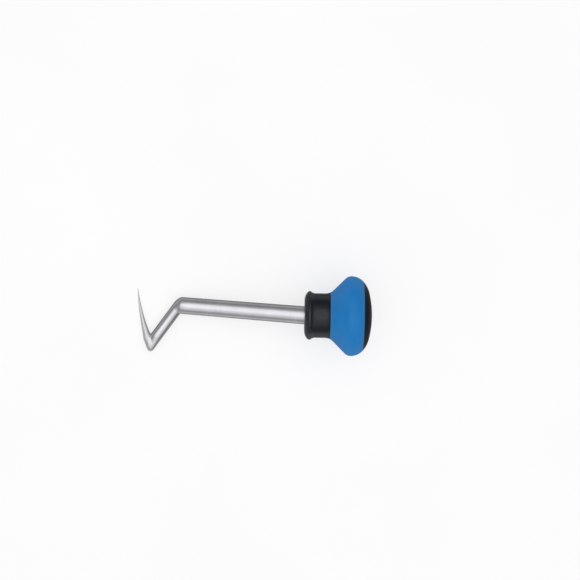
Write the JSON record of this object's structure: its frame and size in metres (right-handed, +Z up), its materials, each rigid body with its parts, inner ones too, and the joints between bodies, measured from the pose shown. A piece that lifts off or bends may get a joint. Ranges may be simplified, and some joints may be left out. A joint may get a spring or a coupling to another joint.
{
  "type": "hooked explorer pick",
  "caption": "Hooked explorer pick: a round steel bar, cranked and bent back to a needle point, held in a black collar and a blue mushroom palm knob with a black domed cap.",
  "frame": {"origin": "on the bench, under the centre of the tool's box as it lies at rest on its knob, elbow and point", "axes": "+X along the tool towards the knob, +Y across it towards the point's side of the hook, +Z up from the bench"},
  "size_m": [0.1104, 0.038, 0.0376],
  "materials": {
    "shaft_steel": "satin ground, with fine marks round the bar",
    "collar_black": "fine moulded texture, slightly glossy",
    "grip_blue": "soft satin",
    "cap_black": "fine moulded texture, slightly glossy",
    "core_black": "plain moulded",
    "fastener_steel": "plain zinc plated",
    "insert_nylon": "plain natural nylon"
  },
  "bodies": {
    "root": {"hook_shaft": "shaft_steel", "front_collar": "collar_black", "thrust_washer": "fastener_steel", "handle_core": "core_black", "soft_grip": "grip_blue", "tang_washer": "fastener_steel", "tang_nut": "fastener_steel", "nut_insert": "insert_nylon", "end_cap": "cap_black"}
  },
  "joints": []
}
